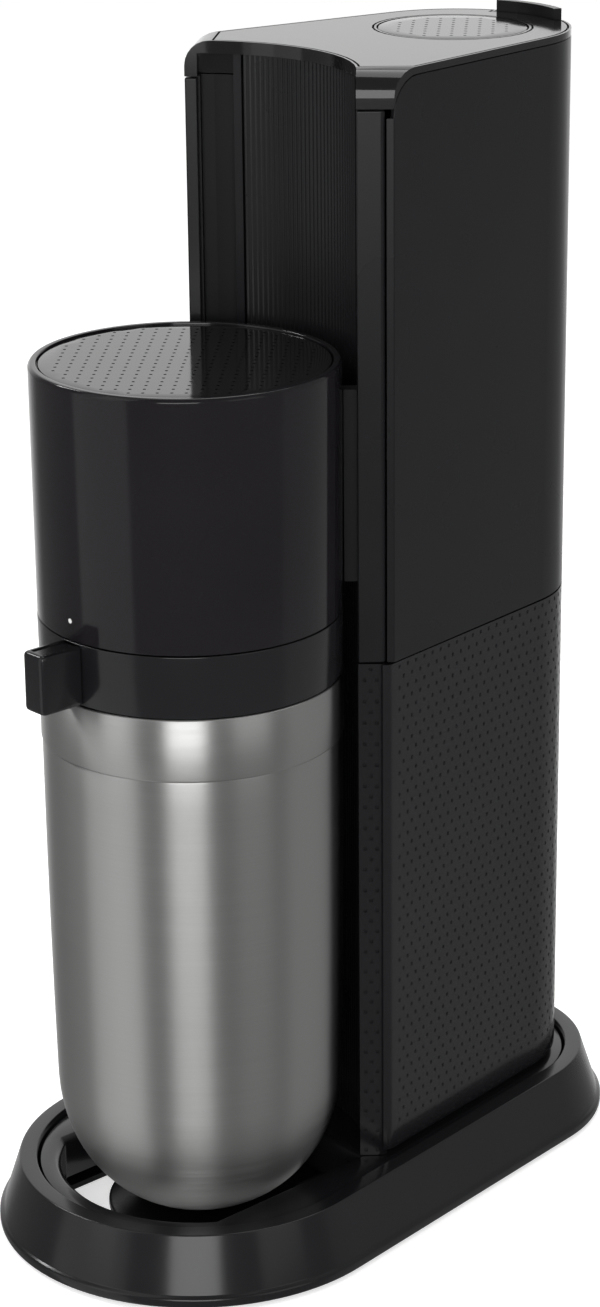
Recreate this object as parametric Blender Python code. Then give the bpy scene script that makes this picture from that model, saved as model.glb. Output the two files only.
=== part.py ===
"""A countertop soda carbonator: a lifting carbonating head in front of a gas tower, on an egg-shaped base.

Lengths are in millimetres and angles in degrees; put_object turns lengths into Blender's metres.
Plan shapes are drawn round two vertical axes, the bottle axis in front and the gas axis behind it.
The world origin is on the table, in the middle of the footprint, with +Y to the rear and +Z up.
"""

import math

import bmesh
import bpy
from mathutils import Matrix, Vector

MM = 0.001

# Overall layout
AXIS_GAP = 132.0
BASE_FRONT_R = 76.4
BASE_REAR_R = 59.8
TOWER_TOP = 430.0
BOTTLE_Y = (BASE_FRONT_R - AXIS_GAP - BASE_REAR_R) / 2
GAS_Y = BOTTLE_Y + AXIS_GAP

# Clearances
TOUCH = 0.3
SEAM = 0.5
GROOVE = 0.9
RUN = 0.8

# Base
FOOT_LIFT = 1.2
FOOT_R = 7.0
BASE_PLATE_T = 2.2
SKIRT_T = 2.6
RIM_TOP = 26.2
RIM_SLOPE = 8.2
RIM_WIDTH = 5.1
DECK_T = 3.6
DECK_DROP = 2.0
WELL_R = 53.0
WELL_SIDE_CLEAR = 3.6
WELL_BACK_CLEAR = 2.1
PEDESTAL_R = 35.5
PEDESTAL_BRIDGE = 20.0

# Tower plan
TOWER_REAR_R = 40.8
TOWER_TAPER = 8.0
POST_CORNER = (52.8, 49.4)
POST_INNER = (44.3, 39.8)
RECESS_R = 59.5
LIP_WIDTH = 4.5
LIP_DEPTH = 2.5
SHELL_T = 1.8
SHELL_CORNER_R = 13.0
SHELL_FOOT = RIM_TOP + 1.2
TEXTURE_TOP = 220.0

# Guide channels and the front wall of the tower
FRAME_T = 2.2
PLINTH_INSET = 4.0
PANEL_R = 61.0
PANEL_T = 2.0
PANEL_EDGE = 62.0
CHANNEL_LEAD = 5.0
CHANNEL_R = 66.5
RAIL_WIDTH = 3.0
ARM_LEAD = 2.1
ARM_WIDTH = 7.0

# Cap, carbonation button and its linkage
CAP_T = 2.5
BROW_H = 12.7
LINTEL_H = 4.5
BULLNOSE_R = 9.0
BUTTON_Y = -2.8
BUTTON_R = 27.1
BUTTON_T = 4.0
ROD_Y = -20.0
ROD_R = 3.0
ROD_TIP_R = 1.0
PIVOT_Y = 15.0
PIVOT_Z = 398.0
LEVER_T = 5.0
PIVOT_R = 2.0

# Gas cylinder and its seat
GAS_R = 30.0
GAS_BOTTOM = 31.0
GAS_SHOULDER = 292.0
GAS_NECK_R = 12.5
GAS_NECK_TOP = 338.0
VALVE_R = 15.0
VALVE_TOP = 366.0
VALVE_PIN_R = 1.8
BLOCK_BOTTOM = 350.0
BLOCK_TOP = 386.0
BLOCK_HALF = 17.0
BAIL_Z = 368.0
BAIL_ARM = 27.5
BAIL_REST = -45.0
BAIL_T = 4.0
BAIL_SIDE_T = 2.5
BAIL_PIVOT_R = 3.0
BAIL_PLAY = 0.15
OUTLET_R = 4.0
CRADLE_T = 2.6

# Carbonating head and lock ring
HEAD_R = 54.3
HEAD_DRAFT = 0.3
HEAD_TOP = 330.4
HEAD_BOTTOM = 240.4
HEAD_T = 2.4
HEAD_PANEL_DROP = 0.6
RING_BOTTOM = 217.4
RING_R = 54.1
RING_BORE = 51.0
FIN_REACH = 16.6
FIN_T = 11.0

# Canister and the glass bottle in it
CAN_R = 54.2
CAN_BAND_H = 23.0
CAN_STEP = 0.4
CAN_TAPER = 1.2
CAN_DOME_TOP = 64.0
CAN_BOTTOM = 7.0
CAN_T = 1.6
CAN_ROUND = 2.15
COLLAR_R = 50.2
COLLAR_TOP = 231.0
GLASS_R = 44.0
GLASS_T = 3.0
GLASS_TOP = 228.0
MOUTH_R = 16.5
SEAL_T = 4.0
TUBE_R = 3.0
TUBE_BOTTOM = 140.0

# Rear latch
LATCH_HALF = 23.0
LATCH_T = 3.0
LATCH_STAND = 4.1
LATCH_Z = 408.0
LATCH_PIN_R = 1.5
LATCH_EYE = 6.0
LATCH_GAP = 1.3
LATCH_EYE_HALF = 7.0
LATCH_EAR_T = 2.4

ROUND = 48
SMALL_ROUND = 24
ARC_STEP = 7.0


def polar(radius, degrees):
    angle = math.radians(degrees)
    return (radius * math.cos(angle), radius * math.sin(angle))


def arc(radius, start, end, centre=(0.0, 0.0), step=ARC_STEP):
    """Points along an arc from one angle to another, both ends included."""
    count = max(1, math.ceil(abs(end - start) / step))
    angles = [start + (end - start) * i / count for i in range(count + 1)]
    return [(centre[0] + polar(radius, a)[0], centre[1] + polar(radius, a)[1]) for a in angles]


def mirrored(points):
    """The same points on the other side of the YZ plane, in the opposite order."""
    return [(-x, y) for x, y in reversed(points)]


def make_material(name, colour, roughness, metallic=0.0, transmission=0.0):
    material = bpy.data.materials.new(name)
    material.use_nodes = True
    shader = material.node_tree.nodes["Principled BSDF"]
    shader.inputs["Base Color"].default_value = (*colour, 1.0)
    shader.inputs["Roughness"].default_value = roughness
    shader.inputs["Metallic"].default_value = metallic
    shader.inputs["Transmission Weight"].default_value = transmission
    return material


def hang(obj, parent):
    """Makes obj move with parent while its location stays a place in the world."""
    if parent:
        obj.parent = parent
        obj.matrix_parent_inverse = parent.matrix_basis.inverted()


def put_object(name, bm, look, place, parent=None, smooth=True):
    """Turns a bmesh drawn in millimetres into a named object standing at place."""
    bmesh.ops.remove_doubles(bm, verts=bm.verts, dist=1e-5)
    bmesh.ops.recalc_face_normals(bm, faces=bm.faces)
    if bm.calc_volume(signed=True) < 0:
        bmesh.ops.reverse_faces(bm, faces=bm.faces)
    bmesh.ops.scale(bm, vec=Vector((MM, MM, MM)), verts=bm.verts)
    mesh = bpy.data.meshes.new(name)
    bm.to_mesh(mesh)
    bm.free()
    obj = bpy.data.objects.new(name, mesh)
    bpy.context.scene.collection.objects.link(obj)
    obj.location = Vector(place) * MM
    hang(obj, parent)
    if look:
        colour, roughness, metallic, transmission = look
        mesh.materials.append(make_material(name, colour, roughness, metallic, transmission))
    if smooth:
        mesh.shade_smooth()
        mesh.set_sharp_from_angle(angle=math.radians(35))
    return obj


def skin_loops(bm, loops, cyclic):
    """Bridges closed loops with equal point counts; without cyclic, the two ends are capped."""
    rows = [[bm.verts.new(point) for point in loop] for loop in loops]
    count = len(rows[0])
    pairs = list(zip(rows, rows[1:] + rows[:1] if cyclic else rows[1:]))
    for lower, upper in pairs:
        for i in range(count):
            j = (i + 1) % count
            bm.faces.new((lower[i], lower[j], upper[j], upper[i]))
    if not cyclic:
        bm.faces.new(rows[0])
        bm.faces.new(list(reversed(rows[-1])))


def turned_bmesh(profile, sides):
    """A body of revolution round Z. A profile that starts and ends at radius 0 is solid, any other is a ring."""
    bm = bmesh.new()
    solid = profile[0][0] == 0 and profile[-1][0] == 0
    rings = []
    for radius, z in profile:
        if radius == 0:
            rings.append([bm.verts.new((0, 0, z))] * sides)
        else:
            rings.append([bm.verts.new((*polar(radius, 360 * i / sides), z)) for i in range(sides)])
    following = rings[1:] if solid else rings[1:] + rings[:1]
    for one, two in zip(rings, following):
        for i in range(sides):
            j = (i + 1) % sides
            corners = [one[i], one[j], two[j], two[i]]
            bm.faces.new(list(dict.fromkeys(corners)))
    return bm


def turned(name, profile, look, place, parent=None, sides=ROUND):
    return put_object(name, turned_bmesh(profile, sides), look, place, parent)


def plate_bmesh(outline, low, high, holes=()):
    """An upright prism on a plan outline, with holes right through it."""
    bm = bmesh.new()
    for loop in (outline, *holes):
        corners = [bm.verts.new((x, y, low)) for x, y in loop]
        for one, two in zip(corners, corners[1:] + corners[:1]):
            bm.edges.new((one, two))
    bmesh.ops.triangle_fill(bm, use_beauty=True, use_dissolve=False, edges=bm.edges[:])
    grown = bmesh.ops.extrude_face_region(bm, geom=bm.faces[:])["geom"]
    risen = [item for item in grown if isinstance(item, bmesh.types.BMVert)]
    bmesh.ops.translate(bm, vec=Vector((0, 0, high - low)), verts=risen)
    return bm


def plate(name, outline, low, high, look, place, parent=None, holes=()):
    return put_object(name, plate_bmesh(outline, low, high, holes), look, place, parent)


def bar_bmesh(section, start, end):
    """A prism that runs across X on a section given as (y, z)."""
    bm = bmesh.new()
    skin_loops(bm, [[(reach, y, z) for y, z in section] for reach in (start, end)], cyclic=False)
    return bm


def bar(name, section, start, end, look, place, parent=None):
    return put_object(name, bar_bmesh(section, start, end), look, place, parent)


def cutter(bm, place):
    """A hidden helper that a Boolean subtracts."""
    obj = put_object("cutter", bm, None, place, smooth=False)
    obj.hide_render = True
    obj.display_type = "WIRE"
    return obj


def combine(obj, other, operation):
    modifier = obj.modifiers.new(operation.lower(), "BOOLEAN")
    modifier.operation = operation
    modifier.solver = "EXACT"
    modifier.object = other


def bevel(obj, width, segments=2, angle=40):
    modifier = obj.modifiers.new("edge", "BEVEL")
    modifier.width = width * MM
    modifier.segments = segments
    modifier.limit_method = "ANGLE"
    modifier.angle_limit = math.radians(angle)


def group(name, place, parent=None):
    """An empty that a moving body's pieces hang from, standing on the body's joint axis."""
    empty = bpy.data.objects.new(name, None)
    bpy.context.scene.collection.objects.link(empty)
    empty.location = Vector(place) * MM
    empty.matrix_basis = Matrix.Translation(empty.location)
    hang(empty, parent)
    return empty


BLACK_SATIN = ((0.022, 0.022, 0.023), 0.42, 0.0, 0.0)
BLACK_GLOSS = ((0.020, 0.019, 0.020), 0.16, 0.0, 0.0)
BLACK_TEXTURE = ((0.020, 0.020, 0.021), 0.50, 0.0, 0.0)
GREY_INNER = ((0.060, 0.060, 0.062), 0.55, 0.0, 0.0)
RUBBER = ((0.012, 0.012, 0.012), 0.85, 0.0, 0.0)
STEEL = ((0.56, 0.55, 0.53), 0.30, 1.0, 0.0)
BRASS = ((0.70, 0.52, 0.24), 0.32, 1.0, 0.0)
ALUMINIUM = ((0.62, 0.62, 0.63), 0.38, 1.0, 0.0)
GLASS = ((0.95, 0.97, 0.97), 0.04, 0.0, 1.0)
SEAL_GREY = ((0.25, 0.26, 0.27), 0.70, 0.0, 0.0)


# ---- Plan outlines -------------------------------------------------------------------------------


def belt(offset):
    """The base's plan outline, two circles joined by tangents, moved out by offset."""
    tilt = math.degrees(math.asin((BASE_FRONT_R - BASE_REAR_R) / AXIS_GAP))
    rear = arc(BASE_REAR_R + offset, tilt, 180 - tilt, (0.0, AXIS_GAP))
    front = arc(BASE_FRONT_R + offset, 180 - tilt, 360 + tilt)
    return rear + front


def canister_reach():
    """The canister's radius where it passes the top of the deck."""
    drop = (CAN_DOME_TOP - RIM_TOP + DECK_DROP) / (CAN_DOME_TOP - CAN_BOTTOM)
    return (CAN_R - CAN_STEP - CAN_TAPER) * (1 - drop**CAN_ROUND) ** (1 / CAN_ROUND)


def well_outline(inset=0.0):
    """The opening in the base round the pedestal: an arc in front, straight sides and a straight back."""
    radius = WELL_R - inset
    half = canister_reach() + WELL_SIDE_CLEAR - inset
    back = canister_reach() + WELL_BACK_CLEAR - inset
    meet = math.degrees(math.acos(half / radius))
    front = arc(radius, 180 + meet, 360 - meet)
    return front + [(half, back), (-half, back)]


def side_x(y, inset=0.0):
    """Half the tower's width at a depth y, moved in by inset."""
    tilt = math.radians(TOWER_TAPER)
    return (TOWER_REAR_R - inset + (AXIS_GAP - y) * math.sin(tilt)) / math.cos(tilt)


def chamfer_y(x):
    """Depth of the front posts' slanting faces at a half width x."""
    slope = (POST_CORNER[1] - POST_INNER[1]) / (POST_CORNER[0] - POST_INNER[0])
    return POST_INNER[1] + slope * (x - POST_INNER[0])


def side_path(front, inset):
    """The tower's outline from a point at its right front, round the rear, to the left front."""
    rear = arc(TOWER_REAR_R - inset, TOWER_TAPER, 180 - TOWER_TAPER, (0.0, AXIS_GAP))
    return [front] + rear + [(-front[0], front[1])]


def shell_outline(grow=0.0):
    """The removable cover in plan: a U whose two front ends lie in the slanting faces."""
    outer_front = (side_x(POST_CORNER[1], -grow), POST_CORNER[1] - grow)
    inner_x = side_x(POST_CORNER[1], SHELL_T + grow)
    inner_front = (inner_x, chamfer_y(inner_x) - grow)
    outer = side_path(outer_front, -grow)
    inner = side_path(inner_front, SHELL_T + grow)
    return outer + list(reversed(inner))


def post_angle():
    """Bearing of the front posts' inner edges, seen from the bottle axis."""
    return math.degrees(math.atan2(POST_INNER[1], POST_INNER[0]))


def lip_end(radius):
    return post_angle() + math.degrees(LIP_WIDTH / radius)


def channel_start():
    """Bearing of the guide channels' outer walls, just behind the posts' lips."""
    return post_angle() + CHANNEL_LEAD


def tower_outline():
    """The whole tower in plan: sides and rear, slanting post faces, hollow front."""
    start = post_angle()
    front = arc(RECESS_R, 180 - start, start)
    return side_path(POST_CORNER, 0.0) + front


# ---- Base ----------------------------------------------------------------------------------------


def add_base(body):
    place = (0.0, BOTTLE_Y, 0.0)
    inner = RIM_SLOPE + 1.0 + RIM_WIDTH
    deck_top = RIM_TOP - DECK_DROP
    deck_low = deck_top - DECK_T
    section = [
        (-SKIRT_T, FOOT_LIFT),
        (-0.8, FOOT_LIFT),
        (0.0, FOOT_LIFT + 1.0),
        (0.0, FOOT_LIFT + 3.0),
        (-1.2, FOOT_LIFT + 4.3),
        (-RIM_SLOPE + 0.6, RIM_TOP - 2.4),
        (-RIM_SLOPE, RIM_TOP - 0.7),
        (-RIM_SLOPE - 1.0, RIM_TOP),
        (-inner, RIM_TOP),
        (-inner - 0.5, RIM_TOP - 0.5),
        (-inner - 0.5, deck_low - 2.4),
        (-inner + 1.5, deck_low - 2.4),
        (-inner + 2.5, RIM_TOP - SKIRT_T),
        (-RIM_SLOPE - SKIRT_T, RIM_TOP - SKIRT_T),
        (-SKIRT_T - 1.0, FOOT_LIFT + 4.3),
    ]
    bm = bmesh.new()
    skin_loops(bm, [[(x, y, z) for x, y in belt(d)] for d, z in section], cyclic=True)
    put_object("base_rim", bm, BLACK_GLOSS, place, body)

    deck_edge = belt(-inner - 0.5 - GROOVE)
    plate("base_deck", deck_edge, deck_low, deck_top, BLACK_SATIN, place, body, [well_outline()])
    plate_edge = belt(-SKIRT_T - 1.0 - TOUCH)
    plate_top = FOOT_LIFT + BASE_PLATE_T
    plate("base_plate", plate_edge, FOOT_LIFT, plate_top, BLACK_SATIN, place, body, [well_outline()])

    half = PEDESTAL_BRIDGE
    meet = math.degrees(math.asin(half / PEDESTAL_R))
    rest = canister_reach() + WELL_BACK_CLEAR + 12.0
    outline = arc(PEDESTAL_R, 90 + meet, 450 - meet) + [(half, rest), (-half, rest)]
    low = plate_top + TOUCH
    pedestal = plate("canister_pedestal", outline, low, CAN_BOTTOM - TOUCH, BLACK_SATIN, place, body)
    bevel(pedestal, 1.0, 1)

    for side, x in (("left", -1), ("right", 1)):
        for end, y, reach in (("front", -34.0, 48.0), ("rear", AXIS_GAP + 20.0, 38.0)):
            profile = [(0, 0.0), (FOOT_R - 0.4, 0.0), (FOOT_R, 0.4), (FOOT_R, FOOT_LIFT - TOUCH)]
            profile += [(0, FOOT_LIFT - TOUCH)]
            spot = (x * reach, BOTTLE_Y + y, 0.0)
            turned(f"foot_{end}_{side}", profile, RUBBER, spot, body, SMALL_ROUND)


# ---- Tower ---------------------------------------------------------------------------------------


def plinth_top():
    return SHELL_FOOT - TOUCH


def add_plinth(body):
    """The dark foot that lifts the tower off the deck."""
    start = post_angle() + CHANNEL_LEAD + 4.0
    front = arc(PANEL_R + PANEL_T + TOUCH, 180 - start, start)
    corner_y = POST_CORNER[1] + 6.0
    outline = side_path((side_x(corner_y, PLINTH_INSET), corner_y), PLINTH_INSET) + front
    low = RIM_TOP - DECK_DROP + TOUCH
    plate("tower_plinth", outline, low, plinth_top(), GREY_INNER, (0, BOTTLE_Y, 0), body)


def add_frame(body):
    """The folded front wall: a channel each side for the lift, and a seat for the ribbed panel."""
    seat = PANEL_R + PANEL_T + TOUCH
    mouth = RECESS_R + LIP_DEPTH + TOUCH
    wall = math.degrees(FRAME_T / CHANNEL_R)
    inside = PANEL_EDGE - 0.6
    start = channel_start()
    near = [polar(mouth, start), polar(CHANNEL_R, start)]
    near += arc(CHANNEL_R, start + 4, inside)
    near += arc(seat, inside, 90)
    back = CHANNEL_R + FRAME_T
    far = [polar(mouth, start - wall)]
    far += arc(back, start - wall, inside + wall)
    far += arc(seat + FRAME_T, inside + wall, 90)
    one_side = near[:-1] + mirrored(near)
    other_side = far[:-1] + mirrored(far)
    outline = one_side + list(reversed(other_side))
    top = TOWER_TOP - BROW_H - TOUCH
    plate("tower_frame", outline, SHELL_FOOT, top, GREY_INNER, (0, BOTTLE_Y, 0), body)


def post_outline():
    lip = lip_end(RECESS_R)
    edge_x = side_x(POST_CORNER[1], SHELL_T + GROOVE)
    back = RECESS_R + LIP_DEPTH
    return [
        (edge_x, chamfer_y(edge_x)),
        (side_x(POST_CORNER[1], SHELL_T + RUN), POST_CORNER[1] - 1.5),
        polar(back + 3.6, lip - 2.4),
        polar(back, lip - 2.0),
        polar(back, lip),
        *arc(RECESS_R, lip, post_angle()),
    ]


def add_posts(body):
    deck_top = RIM_TOP - DECK_DROP
    brow_foot = TOWER_TOP - BROW_H
    spans = (
        ("lower", deck_top + TOUCH, TEXTURE_TOP - SEAM / 2, BLACK_TEXTURE),
        ("upper", TEXTURE_TOP + SEAM / 2, brow_foot - SEAM, BLACK_GLOSS),
    )
    for part, low, high, look in spans:
        for side, outline in (("right", post_outline()), ("left", mirrored(post_outline()))):
            plate(f"post_{part}_{side}", outline, low, high, look, (0, BOTTLE_Y, 0), body)


def add_panel_and_rails(body):
    low = RIM_TOP - DECK_DROP + TOUCH
    high = TOWER_TOP - LINTEL_H - TOUCH
    outline = arc(PANEL_R, PANEL_EDGE, 180 - PANEL_EDGE)
    outline += arc(PANEL_R + PANEL_T, 180 - PANEL_EDGE, PANEL_EDGE)
    plate("ribbed_panel", outline, low, high, BLACK_GLOSS, (0, BOTTLE_Y, 0), body)

    outer = CHANNEL_R - TOUCH
    inner = outer - 3.0
    turn = math.degrees(RAIL_WIDTH / outer)
    end = PANEL_EDGE - 1.6
    rail = arc(inner, end - turn, end) + arc(outer, end, end - turn)
    for side, shape in (("right", rail), ("left", mirrored(rail))):
        plate(f"guide_rail_{side}", shape, SHELL_FOOT, high, STEEL, (0, BOTTLE_Y, 0), body)


def cap_brow_cutter(side):
    """What the bullnose takes off the cap along one slanting face."""
    run = Vector((POST_CORNER[0] - POST_INNER[0], POST_CORNER[1] - POST_INNER[1])).normalized()
    inward = Vector((-run.y, run.x))
    start = Vector(POST_INNER) - run * 0.2
    centre_z = TOWER_TOP - BULLNOSE_R
    curve = [(BULLNOSE_R - BULLNOSE_R * math.cos(a), centre_z + BULLNOSE_R * math.sin(a)) for a in
             (math.radians(15 * i) for i in range(7))]
    section = [(-4.0, centre_z - 2.0), (0.0, centre_z - 2.0)] + curve
    section += [(BULLNOSE_R, TOWER_TOP + 4.0), (-4.0, TOWER_TOP + 4.0)]
    bm = bmesh.new()
    loops = []
    for reach in (-0.3, 40.0):
        foot = start + run * reach
        loop = [(foot + inward * depth, z) for depth, z in section]
        loops.append([(side * point.x, point.y, z) for point, z in loop])
    skin_loops(bm, loops, cyclic=False)
    return cutter(bm, (0, BOTTLE_Y, 0))


def cap_hollow_outline():
    """Plan of the space under the cap: where the cover's edge runs, and all that lies behind the front wall."""
    grow = GROOVE / 2
    outer_front = (side_x(POST_CORNER[1], -grow), POST_CORNER[1] - grow)
    inner_x = side_x(POST_CORNER[1], SHELL_T + grow)
    back_y = POST_CORNER[1] + 6.0
    right = [(side_x(back_y, SHELL_T + grow), back_y), (inner_x, chamfer_y(inner_x) - grow)]
    start = channel_start() + 3.0
    wall = arc(CHANNEL_R + FRAME_T + 1.0, 180 - start, start)
    return side_path(outer_front, -grow) + mirrored(right) + wall + right


def shell_corner_bmesh(grow=0.0):
    """The waste outside the cover's rounded upper front corners, seen from the side."""
    radius = SHELL_CORNER_R + grow
    centre = (POST_CORNER[1] + SHELL_CORNER_R, cover_top() - SHELL_CORNER_R)
    front = POST_CORNER[1] - 8.0
    above = TOWER_TOP + 5.0
    section = [(front, centre[1])] + arc(radius, 180, 90, centre, 15)
    section += [(centre[0], above), (front, above)]
    return bar_bmesh(section, -90.0, 90.0)


def cover_top():
    return TOWER_TOP - CAP_T - TOUCH


def add_cap(body):
    """The top plate with its brow over the posts and its lintel over the hollow front."""
    place = (0, BOTTLE_Y, 0)
    brow_foot = TOWER_TOP - BROW_H
    button = arc(BUTTON_R + SEAM, 0, 360 - 10, (0.0, AXIS_GAP + BUTTON_Y), 10)
    cap = plate("top_cap", tower_outline(), brow_foot, TOWER_TOP, BLACK_GLOSS, place, body, [button])

    below = brow_foot - 5.0
    under = TOWER_TOP - CAP_T
    hidden = cutter(plate_bmesh(cap_hollow_outline(), below, under), place)
    combine(hidden, cutter(shell_corner_bmesh(GROOVE / 2), place), "DIFFERENCE")
    combine(cap, hidden, "DIFFERENCE")
    lip = lip_end(RECESS_R)
    front = arc(CHANNEL_R + 1.0, 180 - lip, lip) + arc(RECESS_R - 9.0, lip, 180 - lip)
    combine(cap, cutter(plate_bmesh(front, below, TOWER_TOP - LINTEL_H), place), "DIFFERENCE")
    for side in (1, -1):
        combine(cap, cap_brow_cutter(side), "DIFFERENCE")
    gap = notch_outline(TOWER_REAR_R - TOUCH - LATCH_T - RUN)
    notch = plate_bmesh(gap, below, TOWER_TOP + 4.0)
    combine(cap, cutter(notch, (0, GAS_Y, 0)), "DIFFERENCE")


# ---- Gas supply ----------------------------------------------------------------------------------


def add_gas_supply(body):
    place = (0, GAS_Y, 0)
    floor = plinth_top() + TOUCH
    gap = RUN
    cradle = arc(GAS_R + gap, 200, 340) + arc(GAS_R + gap + CRADLE_T, 340, 200)
    plate("cylinder_cradle", cradle, floor, GAS_SHOULDER - 20, GREY_INNER, place, body)
    seat = [(0, floor), (GAS_R - 2.0, floor), (GAS_R - 2.0, GAS_BOTTOM - TOUCH), (0, GAS_BOTTOM - TOUCH)]
    turned("cylinder_seat", seat, RUBBER, place, body, SMALL_ROUND)

    shoulder = [(GAS_R * math.cos(a), GAS_SHOULDER + 30 * math.sin(a)) for a in
                (math.radians(12 * i) for i in range(6))]
    profile = [(0, GAS_NECK_TOP), (GAS_NECK_R, GAS_NECK_TOP), (GAS_NECK_R, GAS_SHOULDER + 33)]
    profile += list(reversed(shoulder))
    profile += [(GAS_R, GAS_BOTTOM + 6), (GAS_R - 1.8, GAS_BOTTOM + 1.8), (GAS_R - 6, GAS_BOTTOM)]
    profile += [(0, GAS_BOTTOM)]
    turned("co2_cylinder", profile, ALUMINIUM, place, body, 40)

    low = GAS_NECK_TOP + TOUCH
    bore = VALVE_PIN_R + 0.3
    valve = [(VALVE_R - 4, low), (VALVE_R - 4, low + 5), (VALVE_R, low + 6), (VALVE_R, VALVE_TOP - 3)]
    valve += [(VALVE_R - 1.5, VALVE_TOP), (bore, VALVE_TOP), (bore, low)]
    turned("cylinder_valve", valve, BRASS, place, body, SMALL_ROUND)

    half = BLOCK_HALF
    square = [(half, -half), (half, half), (-half, half), (-half, -half)]
    socket = VALVE_R + RUN
    block = plate("valve_block", square, BLOCK_BOTTOM, BLOCK_TOP, GREY_INNER, place, body)
    stubs = pin_bmesh(BAIL_PIVOT_R, 2 * (half + RUN + BAIL_SIDE_T + 0.4))
    combine(block, cutter(stubs, (0, GAS_Y, BAIL_Z)), "UNION")
    for radius, low_end, high_end in (
        (socket, BLOCK_BOTTOM - 5, VALVE_TOP + 1),
        (bore, VALVE_TOP - 5, BLOCK_TOP + 5),
    ):
        hole = turned_bmesh([(0, low_end), (radius, low_end), (radius, high_end), (0, high_end)], SMALL_ROUND)
        combine(block, cutter(hole, place), "DIFFERENCE")
    bm = turned_bmesh([(0, 0), (OUTLET_R, 0), (OUTLET_R, 9), (OUTLET_R - 1.5, 10), (OUTLET_R - 1.5, 16),
                       (0, 16)], 16)
    bmesh.ops.rotate(bm, matrix=Matrix.Rotation(math.radians(90), 3, "X"), verts=bm.verts)
    put_object("gas_outlet", bm, BRASS, (0, GAS_Y - half - TOUCH, BAIL_Z), body)

    stem = [(0, low + 4), (VALVE_PIN_R, low + 4), (VALVE_PIN_R, pin_top()), (0, pin_top())]
    valve_stem = group("valve_pin_body", place, body)
    turned("valve_pin", stem, BRASS, place, valve_stem, 16)

    for side in (1, -1):
        section = [(PIVOT_Y - 5, BLOCK_TOP + TOUCH), (PIVOT_Y + 5, BLOCK_TOP + TOUCH)]
        section += [(PIVOT_Y + 5, PIVOT_Z + 4), (PIVOT_Y - 5, PIVOT_Z + 4)]
        name = "pivot_ear_right" if side > 0 else "pivot_ear_left"
        ear = bar(name, section, side * 8.0, side * 12.0, GREY_INNER, place, body)
        hole = pin_bmesh(PIVOT_R + 0.05, 30.0)
        combine(ear, cutter(hole, (0, GAS_Y + PIVOT_Y, PIVOT_Z)), "DIFFERENCE")


def add_bail(body):
    """The hinged bail that draws the gas cylinder up into its seat and lets it down again."""
    pivot = (0, GAS_Y, BAIL_Z)
    swing = group("cylinder_bail_body", pivot, body)
    near = BLOCK_HALF + RUN
    far = near + BAIL_SIDE_T
    half = BAIL_T / 2
    end = BAIL_ARM + half
    outline = [(-far, 0), (-far, end), (far, end), (far, 0), (near, 0), (near, end - BAIL_T)]
    outline += [(-near, end - BAIL_T), (-near, 0)]
    bm = plate_bmesh(outline, -half, half)
    turn = Matrix.Rotation(math.radians(BAIL_REST), 3, "X")
    bmesh.ops.rotate(bm, matrix=turn, verts=bm.verts)
    bail = put_object("cylinder_bail", bm, STEEL, pivot, swing)
    for side in (1, -1):
        eye = [polar(BAIL_PIVOT_R + 2.0, 360 * i / 16 + 3) for i in range(16)]
        ends = sorted((side * (near + 0.2), side * (far - 0.2)))
        combine(bail, cutter(bar_bmesh(eye, *ends), pivot), "UNION")
    combine(bail, cutter(pin_bmesh(BAIL_PIVOT_R + BAIL_PLAY, 2 * far + 4), pivot), "DIFFERENCE")


def pin_bmesh(radius, length, sides=16):
    """A straight pin along X, centred on its own origin."""
    section = [polar(radius, 360 * i / sides) for i in range(sides)]
    return bar_bmesh(section, -length / 2, length / 2)


def lever_bottom():
    return PIVOT_Z - LEVER_T / 2


def pin_top():
    return lever_bottom() - TOUCH


def add_actuator(body):
    """The rocker between the button's rod and the valve pin, and the pin that it turns on."""
    pivot = (0, GAS_Y + PIVOT_Y, PIVOT_Z)
    rocker = group("actuator_body", pivot, body)
    front = ROD_Y - PIVOT_Y - 5.0
    section = [(front, -LEVER_T / 2), (3.5, -LEVER_T / 2), (3.5, LEVER_T / 2), (front, LEVER_T / 2)]
    lever = bar("actuator_lever", section, -7.0, 7.0, STEEL, pivot, rocker)
    combine(lever, cutter(pin_bmesh(PIVOT_R + 0.05, 20.0), pivot), "DIFFERENCE")
    put_object("actuator_pivot", pin_bmesh(PIVOT_R, 26.0), STEEL, pivot, body)


def add_button(body):
    place = (0, GAS_Y + BUTTON_Y, TOWER_TOP)
    press = group("button_body", place, body)
    skirt = BUTTON_R - 2.0
    profile = [(0, 0), (BUTTON_R - 0.6, 0), (BUTTON_R, -0.6), (BUTTON_R, -BUTTON_T - 6)]
    profile += [(skirt, -BUTTON_T - 6), (skirt, -BUTTON_T), (0, -BUTTON_T)]
    turned("carbonation_button", profile, BLACK_GLOSS, place, press, 40)
    rod_top = TOWER_TOP - BUTTON_T - TOUCH
    rod_low = PIVOT_Z + LEVER_T / 2 + TOUCH
    spot = (0, GAS_Y + ROD_Y, rod_low)
    high = rod_top - rod_low
    rod = [(0, high), (ROD_R + 3, high), (ROD_R + 3, high - 2), (ROD_R, high - 2), (ROD_R, 2), (ROD_TIP_R, 0)]
    rod += [(0, 0)]
    turned("button_rod", rod, ALUMINIUM, spot, press, 16)
    guide_r = BUTTON_R + SEAM
    top = TOWER_TOP - CAP_T - TOUCH
    guide = [(guide_r + 1.8, top), (guide_r + 1.8, top - 14), (guide_r, top - 14), (guide_r, top)]
    turned("button_guide", guide, GREY_INNER, (0, GAS_Y + BUTTON_Y, 0), body, 40)


# ---- Removable rear cover ------------------------------------------------------------------------


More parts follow.
